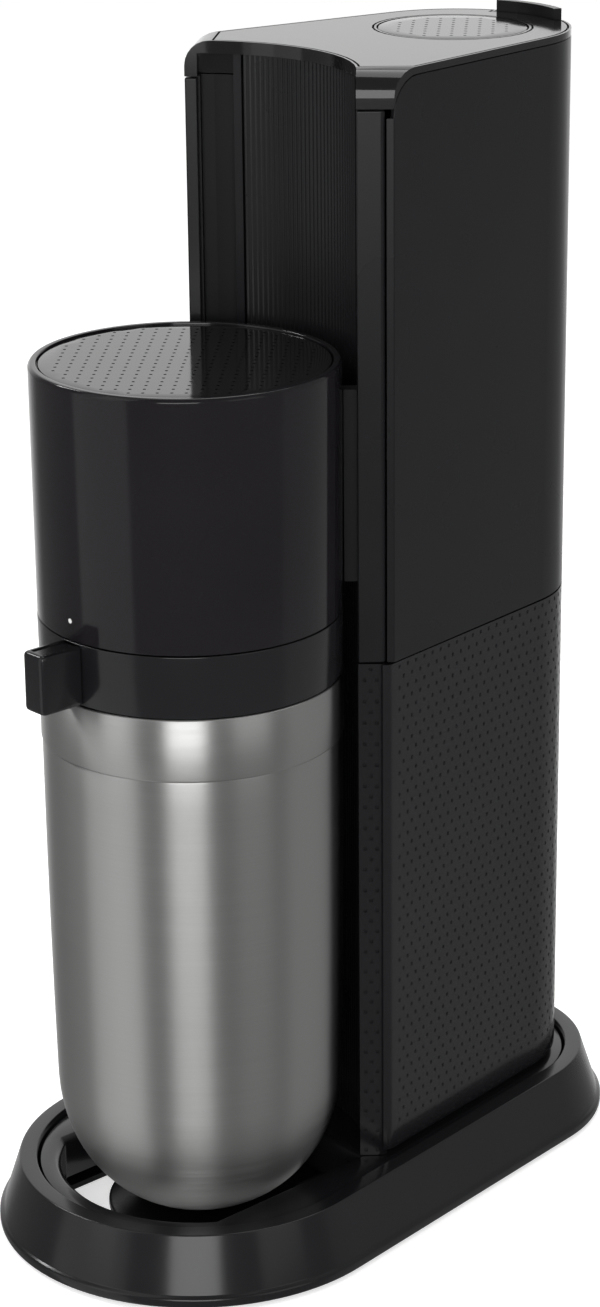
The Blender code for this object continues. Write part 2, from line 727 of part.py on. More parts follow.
def add_cover(body):
    place = (0, BOTTLE_Y, 0)
    cover = group("rear_cover_body", (0, GAS_Y, TEXTURE_TOP), body)
    low = TEXTURE_TOP + SEAM / 2
    upper = plate("cover_upper", shell_outline(), low, cover_top(), BLACK_SATIN, place, cover)
    combine(upper, cutter(shell_corner_bmesh(), place), "DIFFERENCE")
    low_top = TEXTURE_TOP - SEAM / 2
    plate("cover_lower", shell_outline(), SHELL_FOOT, low_top, BLACK_TEXTURE, place, cover)

    add_latch(cover, upper)


def notch_outline(inner):
    """Plan of the gap that the latch stands in, round the gas axis, from a radius outwards."""
    reach = LATCH_HALF + LATCH_GAP
    outline = arc(inner, 90 - reach, 90 + reach)
    return outline + arc(TOWER_REAR_R + 6.0, 90 + reach, 90 - reach)


def add_latch(cover, shell):
    """The tab that stands above the top plate, its pin, and the ears that hold the pin to the cover."""
    outer = TOWER_REAR_R - TOUCH
    middle = outer - LATCH_T / 2
    pivot = (0, GAS_Y + middle - LATCH_EYE, LATCH_Z)
    swing = group("cover_latch_body", pivot, cover)
    centre = (0, LATCH_EYE - middle)
    curve = arc(outer, 90 - LATCH_HALF, 90 + LATCH_HALF, centre)
    curve += arc(outer - LATCH_T, 90 + LATCH_HALF, 90 - LATCH_HALF, centre)
    wall = LATCH_PIN_R + 1.3
    high = TOWER_TOP + LATCH_STAND - LATCH_Z
    latch = plate("cover_latch", curve, -wall - 2.0, high, BLACK_GLOSS, pivot, swing)
    eye = [(-wall, -wall), (LATCH_EYE - 0.6, -wall), (LATCH_EYE - 0.6, wall), (-wall, wall)]
    combine(latch, cutter(bar_bmesh(eye, -LATCH_EYE_HALF, LATCH_EYE_HALF), pivot), "UNION")
    bore = LATCH_PIN_R + 0.05
    combine(latch, cutter(pin_bmesh(bore, 2 * LATCH_EYE_HALF + 2), pivot), "DIFFERENCE")

    inside = LATCH_EYE_HALF + RUN
    outside = inside + LATCH_EAR_T
    put_object("latch_pin", pin_bmesh(LATCH_PIN_R, 2 * outside), STEEL, pivot, cover)
    reach = LATCH_EYE + LATCH_T / 2 - 1.6
    foot = -wall - 2.0 - RUN
    gap = notch_outline(outer - LATCH_T - 6.0)
    notch = plate_bmesh(gap, LATCH_Z + foot, TOWER_TOP + 5.0)
    combine(shell, cutter(notch, (0, GAS_Y, 0)), "DIFFERENCE")
    thin = LATCH_PIN_R + 0.4
    ear = [(-wall, foot - 4), (reach, foot - 4), (reach, foot), (thin, foot), (thin, wall), (-wall, wall)]
    for near, far in ((inside, outside), (-inside, -outside)):
        combine(shell, cutter(bar_bmesh(ear, near, far), pivot), "UNION")
    combine(shell, cutter(pin_bmesh(bore, 2 * outside + 2), pivot), "DIFFERENCE")


# ---- Carbonating head ----------------------------------------------------------------------------


def head_radius(z):
    """The head's sides spread a little towards the top."""
    return HEAD_R - HEAD_DRAFT * (HEAD_TOP - z) / (HEAD_TOP - HEAD_BOTTOM)


def add_head(body):
    place = (0, BOTTLE_Y, 0)
    head = group("head_body", place, body)
    ledge = HEAD_TOP - HEAD_PANEL_DROP - 2.6
    rim = HEAD_R - HEAD_T - 0.6
    shell = [
        (head_radius(HEAD_BOTTOM), HEAD_BOTTOM),
        (head_radius(HEAD_TOP - 3.4), HEAD_TOP - 3.4),
        (HEAD_R - 0.4, HEAD_TOP - 1.2),
        (HEAD_R - 1.5, HEAD_TOP),
        (rim + 0.3, HEAD_TOP),
        (rim, HEAD_TOP - 0.4),
        (rim, ledge),
        (rim - 3.0, ledge),
        (rim - 3.0, ledge - 1.8),
        (rim - 0.4, ledge - 3.2),
        (head_radius(HEAD_BOTTOM) - HEAD_T, HEAD_BOTTOM),
    ]
    turned("head_shell", shell, BLACK_GLOSS, place, head)
    panel_top = HEAD_TOP - HEAD_PANEL_DROP
    edge = rim - SEAM
    panel = [(0, panel_top), (edge - 0.3, panel_top), (edge, panel_top - 0.3), (edge, ledge + TOUCH)]
    panel += [(0, ledge + TOUCH)]
    turned("head_top_panel", panel, BLACK_GLOSS, place, head)

    bore = TUBE_R + 2.4
    web = head_radius(HEAD_BOTTOM) - HEAD_T - TOUCH
    floor = HEAD_BOTTOM + 4.0
    chassis = [
        (web, floor),
        (web, floor + 3),
        (16.0, floor + 3),
        (16.0, floor + 52),
        (12.0, floor + 52),
        (12.0, floor + 2),
        (bore + 6.0, floor + 2),
        (bore + 6.0, floor),
    ]
    turned("head_chassis", chassis, GREY_INNER, place, head)

    inner = head_radius(HEAD_TOP) + TOUCH
    outer = CHANNEL_R - RUN
    turn = math.degrees(ARM_WIDTH / outer)
    start = channel_start() + ARM_LEAD
    arm = arc(inner, start, start + turn) + arc(outer, start + turn, start)
    for side, shape in (("right", arm), ("left", mirrored(arm))):
        plate(f"carriage_arm_{side}", shape, HEAD_BOTTOM + 8, HEAD_TOP - 12, GREY_INNER, place, head)

    seal_low = GLASS_TOP + TOUCH
    seal = [(MOUTH_R, seal_low), (MOUTH_R, seal_low + SEAL_T), (bore + 0.8, seal_low + SEAL_T)]
    seal += [(bore + 0.8, seal_low)]
    turned("nozzle_seal", seal, SEAL_GREY, place, head, SMALL_ROUND)
    nozzle_low = seal_low + SEAL_T + TOUCH
    nozzle = [
        (MOUTH_R, nozzle_low),
        (MOUTH_R, nozzle_low + 6),
        (bore + 5.4, nozzle_low + 7),
        (bore + 5.4, floor + 30),
        (bore - 1.6, floor + 30),
        (bore - 1.6, nozzle_low),
    ]
    turned("nozzle_body", nozzle, GREY_INNER, place, head, SMALL_ROUND)
    tube = [(TUBE_R, TUBE_BOTTOM), (TUBE_R, floor + 28), (TUBE_R - 1.2, floor + 28), (TUBE_R - 1.2, TUBE_BOTTOM)]
    turned("nozzle_tube", tube, STEEL, place, head, 16)
    base = floor + 3 + TOUCH
    relief = [(0, base), (7.0, base), (7.0, base + 8), (5.0, base + 10), (5.0, base + 24), (0, base + 24)]
    turned("relief_valve", relief, BRASS, (30.0, BOTTLE_Y, 0), head, 16)
    turned("pressure_fitting", relief, STEEL, (-30.0, BOTTLE_Y, 0), head, 16)
    return head


def add_lock_ring(head):
    place = (0, BOTTLE_Y, 0)
    turn = group("lock_ring_body", place, head)
    top = HEAD_BOTTOM - SEAM
    ring = [
        (RING_R - 0.5, RING_BOTTOM),
        (RING_R - 0.2, RING_BOTTOM + 0.5),
        (RING_R, top),
        (RING_BORE - 1.0, top),
        (RING_BORE - 1.0, top - 5),
        (RING_BORE, top - 6),
        (RING_BORE, RING_BOTTOM),
    ]
    turned("lock_ring", ring, BLACK_SATIN, place, turn)
    front = -(RING_R + TOUCH)
    low = RING_BOTTOM + 0.4
    high = top - 0.4
    half = FIN_T / 2
    outline = [(-half, front - FIN_REACH), (half, front - FIN_REACH), (half, front), (-half, front)]
    fin = plate("lock_lever", outline, low, high, BLACK_SATIN, place, turn)
    bevel(fin, 1.6, 3)


# ---- Bottle --------------------------------------------------------------------------------------


def dome_point(degrees, inset):
    """A point on the canister's rounded bottom, moved in by inset; 0 degrees is its top edge, 90 its foot."""
    across, down = polar(1.0, degrees)
    radius = CAN_R - CAN_STEP - CAN_TAPER - inset
    depth = CAN_DOME_TOP - CAN_BOTTOM - inset
    return (radius * across ** (2 / CAN_ROUND), CAN_DOME_TOP - depth * down ** (2 / CAN_ROUND))


def can_line(inset):
    """The canister's wall from its mouth down to near the axis, moved in by inset."""
    top = RING_BOTTOM - SEAM
    band_low = RING_BOTTOM - CAN_BAND_H
    shoulder = CAN_R - CAN_STEP - inset
    line = [(CAN_R - inset, top), (CAN_R - inset, band_low), (shoulder, band_low - 1.0)]
    return line + [dome_point(angle, inset) for angle in (0, 15, 30, 45, 60, 72, 82)]


def add_canister(body):
    place = (0, BOTTLE_Y, 0)
    outer = can_line(0.0)
    inner = can_line(CAN_T)
    foot = CAN_BOTTOM
    profile = [(0, foot)] + list(reversed(outer)) + inner + [(0, foot + CAN_T)]
    turned("canister_shell", profile, STEEL, place, body)

    inner_wall = CAN_R - CAN_T - TOUCH
    collar = [
        (inner_wall, RING_BOTTOM - 10),
        (inner_wall, RING_BOTTOM - 1.5),
        (COLLAR_R, RING_BOTTOM - 0.5),
        (COLLAR_R, COLLAR_TOP),
        (COLLAR_R - 3, COLLAR_TOP),
        (COLLAR_R - 3, RING_BOTTOM - 10),
    ]
    turned("canister_collar", collar, BLACK_SATIN, place, body)

    under = [dome_point(angle, CAN_T + TOUCH) for angle in (60, 72, 82)]
    pad_top = under[0][1] + 1.0
    pad = [(0, pad_top), (under[0][0], pad_top)] + under + [(0, CAN_BOTTOM + CAN_T + TOUCH)]
    turned("bottle_pad", pad, RUBBER, place, body)

    foot = pad_top + TOUCH
    glass = [
        (0, foot),
        (24.0, foot),
        (GLASS_R - 6, foot + 18),
        (GLASS_R, foot + 42),
        (GLASS_R, 128.0),
        (GLASS_R - 4, 158.0),
        (GLASS_R - 16, 184.0),
        (MOUTH_R + 1.5, 200.0),
        (MOUTH_R, 208.0),
        (MOUTH_R, GLASS_TOP),
    ]
    hollow = [(max(x - GLASS_T, 0), z) for x, z in reversed(glass[2:])]
    hollow += [(22.0, foot + GLASS_T + 1), (0, foot + GLASS_T + 1)]
    turned("glass_bottle", glass + hollow, GLASS, place, body, 36)


def build():
    for obj in list(bpy.data.objects):
        bpy.data.objects.remove(obj, do_unlink=True)
    base = group("base_body", (0, 0, 0))
    add_base(base)
    add_plinth(base)
    add_frame(base)
    add_posts(base)
    add_panel_and_rails(base)
    add_cap(base)
    add_gas_supply(base)
    add_bail(base)
    add_actuator(base)
    add_button(base)
    add_cover(base)
    head = add_head(base)
    add_lock_ring(head)
    add_canister(base)


build()
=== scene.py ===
"""The finished look of a countertop soda carbonator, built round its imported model.

Lengths are in metres.
"""

import math

import bmesh
import bpy
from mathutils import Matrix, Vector


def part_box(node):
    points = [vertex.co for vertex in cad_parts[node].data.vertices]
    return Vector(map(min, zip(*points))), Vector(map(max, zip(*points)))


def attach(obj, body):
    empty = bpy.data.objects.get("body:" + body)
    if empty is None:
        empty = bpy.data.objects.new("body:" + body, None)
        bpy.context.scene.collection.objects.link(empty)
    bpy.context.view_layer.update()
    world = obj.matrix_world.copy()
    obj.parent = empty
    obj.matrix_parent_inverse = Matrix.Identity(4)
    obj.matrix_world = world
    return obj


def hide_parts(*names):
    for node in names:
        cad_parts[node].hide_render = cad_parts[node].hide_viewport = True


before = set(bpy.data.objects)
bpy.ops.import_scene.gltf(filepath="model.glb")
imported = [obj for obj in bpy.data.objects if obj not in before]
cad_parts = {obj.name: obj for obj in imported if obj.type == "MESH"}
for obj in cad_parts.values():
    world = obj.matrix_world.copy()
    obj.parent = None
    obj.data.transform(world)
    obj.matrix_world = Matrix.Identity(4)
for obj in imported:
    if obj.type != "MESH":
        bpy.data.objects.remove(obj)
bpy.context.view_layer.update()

# ---- Base rim ------------------------------------------------------------------------------------
# The sloping skirt and flat rim of the base: one egg-shaped moulding in semi-gloss black ABS with a
# rolled lower edge. It is screwed to the bottom plate from below and stands on four rubber feet.

MM = 0.001


def linear(code):
    """A linear colour from an sRGB hex code."""
    parts = [int(code[i:i + 2], 16) / 255 for i in (1, 3, 5)]
    return (*(c / 12.92 if c <= 0.04045 else ((c + 0.055) / 1.055) ** 2.4 for c in parts), 1.0)


def add(owner, kind, values=None, links=None, **settings):
    """Adds one shader node to a material or the world: its settings, socket values and links in."""
    fresh = owner.node_tree.nodes.new(kind)
    for key, value in settings.items():
        setattr(fresh, key, value)
    for key, value in (values or {}).items():
        fresh.inputs[key].default_value = value
    for key, source in (links or {}).items():
        owner.node_tree.links.new(source, fresh.inputs[key])
    return fresh


def feed(material, sources):
    """Links each node's result to the shader's socket of that name."""
    shader = material.node_tree.nodes["Principled BSDF"]
    for socket, source in sources.items():
        out = next(o for o in source.outputs
                   if o.enabled and o.name in ("Result", "Normal", "Tangent"))
        material.node_tree.links.new(out, shader.inputs[socket])


def new_material(name, **values):
    """A material whose constants are set on its Principled shader's own sockets."""
    material = bpy.data.materials.new(name)
    material.use_nodes = True
    shader = material.node_tree.nodes["Principled BSDF"]
    for key, value in values.items():
        shader.inputs[key.replace("_", " ")].default_value = value
    return material


def moulded(name, colour, worn, roughness, ior, grain, depth):
    """A moulded surface: slow colour and gloss drift, and the tool's fine grain.

    grain is the grain's spacing and depth its height, both in metres.
    """
    drift = 45 * MM
    material = new_material(name, IOR=ior)
    place = add(material, "ShaderNodeTexCoord").outputs["Object"]
    cloud = add(material, "ShaderNodeTexNoise", {"Scale": 1 / drift, "Detail": 3.0},
                {"Vector": place})
    tint = add(material, "ShaderNodeMix", {"A": linear(colour), "B": linear(worn)},
               {"Factor": cloud.outputs["Fac"]}, data_type="RGBA")
    gloss = add(material, "ShaderNodeMapRange",
                {"To Min": roughness * 0.85, "To Max": roughness * 1.15},
                {"Value": cloud.outputs["Fac"]})
    fine = add(material, "ShaderNodeTexNoise", {"Scale": 1 / grain, "Detail": 2.0},
               {"Vector": place})
    bump = add(material, "ShaderNodeBump", {"Strength": 0.35, "Distance": depth},
               {"Height": fine.outputs["Fac"]})
    feed(material, {"Base Color": tint, "Roughness": gloss, "Normal": bump})
    return material


# Semi-gloss ABS: the same black with sharper reflections, on the base, the dimpled parts, the lock
# ring and its lever.
semi_gloss_abs = moulded("black ABS, semi-gloss", "#151517", "#1b1b1d", 0.17, 1.44, 0.5 * MM,
                         0.006 * MM)


def loft(loops, cyclic=True):
    """A skin over closed loops with equal point counts; without cyclic, flat caps close the ends."""
    bm = bmesh.new()
    rows = [[bm.verts.new(point) for point in loop] for loop in loops]
    count = len(rows[0])
    for one, two in zip(rows, rows[1:] + rows[:1] if cyclic else rows[1:]):
        for i in range(count):
            j = (i + 1) % count
            bm.faces.new((one[i], one[j], two[j], two[i]))
    if not cyclic:
        bm.faces.new(rows[0])
        bm.faces.new(rows[-1])
    return bm


def bend(start, corner, end, steps):
    """Points on the curve that leaves start towards corner and arrives at end."""
    turns = [k / steps for k in range(steps + 1)]
    return [(1 - t) ** 2 * start + 2 * t * (1 - t) * corner + t * t * end for t in turns]


def rounded(corners, steps=5):
    """A closed section whose corners (across, up, radius) are eased into curves."""
    line = []
    for i, (across, up, radius) in enumerate(corners):
        here = Vector((across, up))
        before = Vector(corners[i - 1][:2]) - here
        after = Vector(corners[(i + 1) % len(corners)][:2]) - here
        if not radius:
            line.append(here)
            continue
        reach = radius / math.tan(before.angle(after) / 2)
        # A curve takes less than half of each side, so that neighbouring curves never meet.
        reach = min(reach, 0.48 * before.length, 0.48 * after.length)
        line += bend(here + before.normalized() * reach, here, here + after.normalized() * reach,
                     steps)
    return line


def piece(name, bm, material, body, slot, *nodes, sharp=38, shade_material=None):
    """Names a finished mesh, gives it its material, and lets it stand for CAD nodes on a body."""
    bmesh.ops.recalc_face_normals(bm, faces=bm.faces)
    mesh = bpy.data.meshes.new(name)
    bm.to_mesh(mesh)
    bm.free()
    mesh.materials.append(material)
    # shade_material, where given, is painted shade: the dark floors of drilled dots.
    if shade_material:
        mesh.materials.append(shade_material)
    mesh.shade_smooth()
    mesh.set_sharp_from_angle(angle=math.radians(sharp))
    obj = bpy.data.objects.new(name, mesh)
    bpy.context.scene.collection.objects.link(obj)
    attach(obj, body)
    if nodes:
        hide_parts(*nodes)
    return obj


def arc(radius, start, end, centre_y=0.0, step=3.0):
    """Plan points along an arc, in degrees, round a centre on the middle plane."""
    count = max(1, math.ceil(abs(end - start) / step))
    angles = [math.radians(start + (end - start) * i / count) for i in range(count + 1)]
    return [Vector((radius * math.cos(a), centre_y + radius * math.sin(a))) for a in angles]


def middle(node):
    """The middle of a CAD node's box."""
    low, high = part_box(node)
    return (low + high) / 2


BOTTLE_Y = middle("canister_shell").y
GAS_Y = middle("co2_cylinder").y
rim_low, rim_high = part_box("base_rim")
FRONT_R = rim_high.x
REAR_R = rim_high.y - GAS_Y


def belt(offset):
    """The base's outline, two circles joined by tangents, moved out by offset."""
    tilt = math.degrees(math.asin((FRONT_R - REAR_R) / (GAS_Y - BOTTLE_Y)))
    rear = arc(REAR_R + offset, tilt, 180 - tilt, GAS_Y)
    return rear + arc(FRONT_R + offset, 180 - tilt, 360 + tilt, BOTTLE_Y)


SLOPE = 8.2 * MM
RIM_FLAT = 6.1 * MM
SKIRT_T = 2.6 * MM
ROLL_H = 3.4 * MM
SKIRT_START = 4.4 * MM
RETURN_H = 7.5 * MM
foot, top = rim_low.z, rim_high.z
inner = SLOPE + RIM_FLAT
rim_section = rounded([
    (-SKIRT_T, foot, 0),
    (0.0, foot, 1.2 * MM),
    (0.0, foot + ROLL_H, 1.4 * MM),
    (-1.5 * MM, foot + SKIRT_START, 0.8 * MM),
    (-SLOPE, top, 0.9 * MM),
    (-inner, top, 0.5 * MM),
    (-inner - 0.6 * MM, top - 1.2 * MM, 0),
    (-inner - 0.6 * MM, top - RETURN_H, 0),
    (-inner + 1.2 * MM, top - RETURN_H, 0),
    (-inner + 2.4 * MM, top - SKIRT_T, 0),
    (-SLOPE - 2.2 * MM, top - SKIRT_T, 0),
    (-SKIRT_T - 1.0 * MM, foot + SKIRT_START, 0),
])
rim = loft([[(x, y, up) for x, y in belt(across)] for across, up in rim_section])
piece("base_rim_moulding", rim, semi_gloss_abs, "base", "gloss_black", "base_rim")

# ---- Base deck and pedestal ----------------------------------------------------------------------
# A separate ABS plate let into the rim with a thin shadow gap and screwed down from below. Its well
# is open to the table. The pedestal, the pad that the canister stands on, reaches in from the back.

# Satin ABS from a fine spark-eroded tool: an even dark grey sheen with soft-edged reflections.
satin_abs = moulded("black ABS, satin moulded", "#131315", "#19191b", 0.28, 1.34, 0.4 * MM,
                    0.01 * MM)

deck_low, deck_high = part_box("base_deck")
deck_foot, deck_top = deck_low.z, deck_high.z
GROOVE = 1.5 * MM
WELL_R = 53.0 * MM
WALL_FOOT = 7.6 * MM
WALL_T = 1.6 * MM
WELL_HALF = 43.0 * MM
WELL_BACK = 41.5 * MM


def well(inset):
    """The opening's outline: an arc in front, straight sides and a straight back."""
    radius, half = WELL_R - inset, WELL_HALF - inset
    meet = math.degrees(math.acos(half / radius))
    front = arc(radius, 180 + meet, 360 - meet, BOTTLE_Y)
    back = BOTTLE_Y + WELL_BACK - inset
    side = (front[-1].y + back) / 2
    right = [Vector((half, side)), Vector((half, back))]
    return front + right + [Vector((-half, back)), Vector((-half, side))]


def flat_fill(bm, loops):
    """Fills the flat region between closed loops of vertices."""
    edges = []
    for loop in loops:
        for one, two in zip(loop, loop[1:] + loop[:1]):
            edges.append(bm.edges.get((one, two)) or bm.edges.new((one, two)))
    bmesh.ops.triangle_fill(bm, use_beauty=True, use_dissolve=False, edges=edges)


deck = bmesh.new()
edge = -inner - GROOVE
edge_steps = ((edge, deck_foot), (edge, deck_top - 0.4 * MM),
              (edge - 0.15 * MM, deck_top - 0.1 * MM), (edge - 0.4 * MM, deck_top))
well_steps = ((-2.4 * MM, deck_top), (-1.9 * MM, deck_top - 0.2 * MM),
              (-0.3 * MM, deck_top - 1.5 * MM), (0.0, deck_top - 2.2 * MM), (0.0, WALL_FOOT),
              (-WALL_T, WALL_FOOT), (-WALL_T, deck_foot))
outer_rows = [[deck.verts.new((x, y, up)) for x, y in belt(across)] for across, up in edge_steps]
well_rows = [[deck.verts.new((x, y, up)) for x, y in well(across)] for across, up in well_steps]
for rows in (outer_rows, well_rows):
    for one, two in zip(rows, rows[1:]):
        for i in range(len(one)):
            j = (i + 1) % len(one)
            deck.faces.new((one[i], one[j], two[j], two[i]))
flat_fill(deck, (outer_rows[-1], well_rows[0]))
flat_fill(deck, (outer_rows[0], well_rows[-1]))
piece("base_deck_plate", deck, semi_gloss_abs, "base", "satin_black", "base_deck")

pad_low, pad_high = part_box("canister_pedestal")
PAD_R = pad_high.x
BRIDGE = 20.0 * MM
bridge = math.degrees(math.asin(BRIDGE / PAD_R))


def pad_outline(inset):
    """The pedestal in plan: a round pad and the straight arm that holds it."""
    radius, half = PAD_R - inset, BRIDGE - inset
    line = arc(radius, 90 + bridge, 450 - bridge, BOTTLE_Y)
    back = pad_high.y - inset
    return line + [Vector((half, back)), Vector((-half, back))]


PAD_EDGE = 4.0 * MM
pad_section = rounded([(PAD_EDGE, pad_low.z, 0), (0.0, pad_low.z, 0.5 * MM),
                       (0.0, pad_high.z, 1.2 * MM), (PAD_EDGE, pad_high.z, 0)])
pad_loops = [[(x, y, up) for x, y in pad_outline(across)] for across, up in pad_section]
piece("canister_pad", loft(pad_loops, cyclic=False), satin_abs, "base", "satin_black",
      "canister_pedestal")

# ---- Feet, bottom plate and hidden mouldings -----------------------------------------------------
# Four rubber feet pressed into the bottom plate, and the dark inner mouldings of the tower, screwed
# to each other: plinth, folded front frame, cradle, valve block, ears. They keep their CAD shapes.

# Moulded rubber: matt, nearly black, with a faint mottling.
rubber = moulded("black rubber, moulded", "#101010", "#191918", 0.80, 1.52, 0.5 * MM, 0.03 * MM)
# Unpolished structural ABS: dull dark grey with a coarse grain, the grey darkened further as painted
# shade for the parts in the tower's shadowed hollow.
inner_abs_and_shade = moulded("dark ABS with painted shade, unpolished", "#0e0e0f", "#151516", 0.50, 1.32, 0.6 * MM, 0.03 * MM)


def dress(material, *nodes):
    """Gives CAD nodes that keep their shape a finished material."""
    for name in nodes:
        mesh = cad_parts[name].data
        mesh.materials.clear()
        mesh.materials.append(material)


dress(rubber, "foot_front_left", "foot_front_right", "foot_rear_left", "foot_rear_right",
      "cylinder_seat", "bottle_pad")
dress(inner_abs_and_shade, "base_plate", "tower_plinth", "tower_frame", "cylinder_cradle", "valve_block",
      "pivot_ear_left", "pivot_ear_right", "button_guide", "head_chassis", "nozzle_body",
      "carriage_arm_left", "carriage_arm_right", "canister_collar")

# ---- Metal parts of the gas supply ---------------------------------------------------------------
# The spun aluminium gas cylinder screwed into its brass valve, the brass outlet, and the plain steel
# rocker, bail, pins and tube. They are seen when the cover is off or the head is up.


def turned_metal(name, colour, roughness, axis_scale):
    """Metal with the fine rings that turning or rolling leaves, spaced axis_scale apart."""
    ring_length = 125 * MM
    material = new_material(name, Metallic=1.0)
    place = add(material, "ShaderNodeTexCoord").outputs["Object"]
    squeezed = add(material, "ShaderNodeMapping",
                   {"Scale": (1 / ring_length, 1 / ring_length, 1 / axis_scale)}, {"Vector": place})
    rings = add(material, "ShaderNodeTexNoise", {"Scale": 1.0, "Detail": 2.0},
                {"Vector": squeezed.outputs["Vector"]})
    gloss = add(material, "ShaderNodeMapRange",
                {"To Min": roughness * 0.75, "To Max": roughness * 1.3},
                {"Value": rings.outputs["Fac"]})
    dull = tuple(0.8 * c for c in linear(colour)[:3]) + (1.0,)
    tint = add(material, "ShaderNodeMix", {"A": dull, "B": linear(colour)},
               {"Factor": rings.outputs["Fac"]}, data_type="RGBA")
    feed(material, {"Roughness": gloss, "Base Color": tint})
    return material


# Spun aluminium: a soft, pale grey shine with fine rings.
aluminium = turned_metal("aluminium, spun", "#c9cacb", 0.34, 0.5 * MM)
# Turned brass: warm yellow with a bright, slightly ringed shine.
brass = turned_metal("brass, turned", "#d2b06a", 0.26, 0.4 * MM)
# Drawn steel: a cool, fairly sharp shine.
drawn_steel = turned_metal("steel, cold drawn", "#bcbcbd", 0.24, 3.0 * MM)
dress(aluminium, "co2_cylinder", "button_rod")
dress(brass, "cylinder_valve", "gas_outlet", "valve_pin", "relief_valve")
dress(drawn_steel, "actuator_lever", "actuator_pivot", "cylinder_bail", "latch_pin", "nozzle_tube",
      "pressure_fitting")
# Blackened steel: the head's rails are oxide-finished, dark with a fairly sharp, oily shine.
black_steel = moulded("steel, black oxide", "#161618", "#202023", 0.22, 1.50, 0.4 * MM, 0.01 * MM)
dress(black_steel, "guide_rail_left", "guide_rail_right")

# ---- Tower posts and removable cover -------------------------------------------------------------
# The cover is one U-shaped shell that clips onto the tower from behind: the upper part is smooth
# satin ABS, the lower part semi-gloss with staggered dimples, as are the lower front posts, which are
# screwed to the frame.

cover_low, cover_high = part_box("cover_lower")
TOWER_R = cover_high.y - GAS_Y
CORNER_Y = cover_low.y
SHELL_T = 1.8 * MM
DIMPLE_PITCH = 4.8 * MM
DIMPLE_ROW = 4.1 * MM
DIMPLE_R = 0.85 * MM
DIMPLE_DEPTH = 0.50 * MM
DIMPLE_FLOOR = 0.55


def walk(path, step_count):
    """Evenly spaced points along a plan path, and the outward direction at each."""
    lengths = [0.0]
    for one, two in zip(path, path[1:]):
        lengths.append(lengths[-1] + (two - one).length)
    spots, ways = [], []
    k = 0
    for i in range(step_count + 1):
        along = lengths[-1] * i / step_count
        while k < len(path) - 2 and lengths[k + 1] < along:
            k += 1
        run = path[k + 1] - path[k]
        t = (along - lengths[k]) / run.length
        spots.append(path[k] + run * t)
        ways.append(Vector((run.y, -run.x)).normalized())
    return spots, ways


def dimpled_skin(bm, path, low, high):
    """An upright dimpled wall along a plan path. Returns its columns of vertices, each low to high."""
    length = sum((two - one).length for one, two in zip(path, path[1:]))
    halves = 2 * max(1, round(length / DIMPLE_PITCH))
    spots, ways = walk(path, halves)
    rows = max(1, round((high - low) / DIMPLE_ROW))
    lift = (high - low) / rows
    grid = [[bm.verts.new((*spot, low + lift * j)) for j in range(rows + 1)] for spot in spots]
    for j in range(rows):
        shift = j % 2
        for i in range(-shift, halves, 2):
            left, right = max(i, 0), min(i + 2, halves)
            across = list(range(left, right + 1))
            rim_line = [grid[c][j] for c in across] + [grid[c][j + 1] for c in reversed(across)]
            if right - left < 2:
                bm.faces.new(rim_line)
                continue
            centre = i + 1
            way = ways[min(centre, halves - 1)]
            along = Vector((-way.y, way.x))
            up = low + lift * (j + 0.5)
            rings = []
            for radius, depth in ((DIMPLE_R, 0.0), (DIMPLE_FLOOR * DIMPLE_R, DIMPLE_DEPTH)):
                ring = []
                for turn in (225, 270, 315, 45, 90, 135):
                    a = math.radians(turn)
                    spot = spots[centre] + along * radius * math.cos(a) - way * depth
                    ring.append(bm.verts.new((*spot, up + radius * math.sin(a))))
                rings.append(ring)
            for one, two in ((rim_line, rings[0]), (rings[0], rings[1])):
                for n in range(6):
                    m = (n + 1) % 6
                    bm.faces.new((one[n], one[m], two[m], two[n]))
            bm.faces.new(rings[1])
    return grid


def dimpled_prism(front, back, low, high):
    """An upright body: dimples along the front path, plain walls along the back path."""
    bm = bmesh.new()
    grid = dimpled_skin(bm, front, low, high)
    feet = [bm.verts.new((x, y, low)) for x, y in back]
    heads = [bm.verts.new((x, y, high)) for x, y in back]
    for i in range(len(back) - 1):
        bm.faces.new((feet[i], feet[i + 1], heads[i + 1], heads[i]))
    bm.faces.new([*grid[-1], heads[0], feet[0]])
    bm.faces.new([*reversed(grid[0]), feet[-1], heads[-1]])
    flat_fill(bm, ([column[0] for column in grid] + feet,))
    flat_fill(bm, ([column[-1] for column in grid] + heads,))
    return bm


def mirrored(path):
    """A plan path on the other side of the middle plane, run the opposite way."""
    return [Vector((-point.x, point.y)) for point in reversed(path)]


REAR_START = 8.0
SLANT = math.radians(48.5)
EDGE_R = 1.4 * MM
PLAIN = 3.0 * MM
front_edge = Vector((cover_high.x, CORNER_Y))
side_way = (arc(TOWER_R, REAR_START, REAR_START, GAS_Y)[0] - front_edge).normalized()
slant_way = Vector((-math.cos(SLANT), -math.sin(SLANT)))
eased = bend(front_edge + slant_way * EDGE_R, front_edge, front_edge + side_way * EDGE_R, 6)
plain_edge = front_edge + side_way * PLAIN
back_edge = Vector((cover_high.x - SHELL_T - 0.02 * MM,
                    CORNER_Y - SHELL_T * math.tan(SLANT) + 0.1 * MM))
outer_rear = arc(TOWER_R, REAR_START, 180 - REAR_START, GAS_Y)
inner_rear = arc(TOWER_R - SHELL_T, REAR_START, 180 - REAR_START, GAS_Y)
front_wall = eased[::-1] + [back_edge]
skin_path = [plain_edge] + outer_rear + mirrored([plain_edge])
inner_path = front_wall + inner_rear + mirrored(front_wall)
cover = dimpled_prism(skin_path, inner_path[::-1], cover_low.z, cover_high.z)
piece("cover_lower_shell", cover, semi_gloss_abs, "rear_cover", "textured_black", "cover_lower",
      sharp=50)


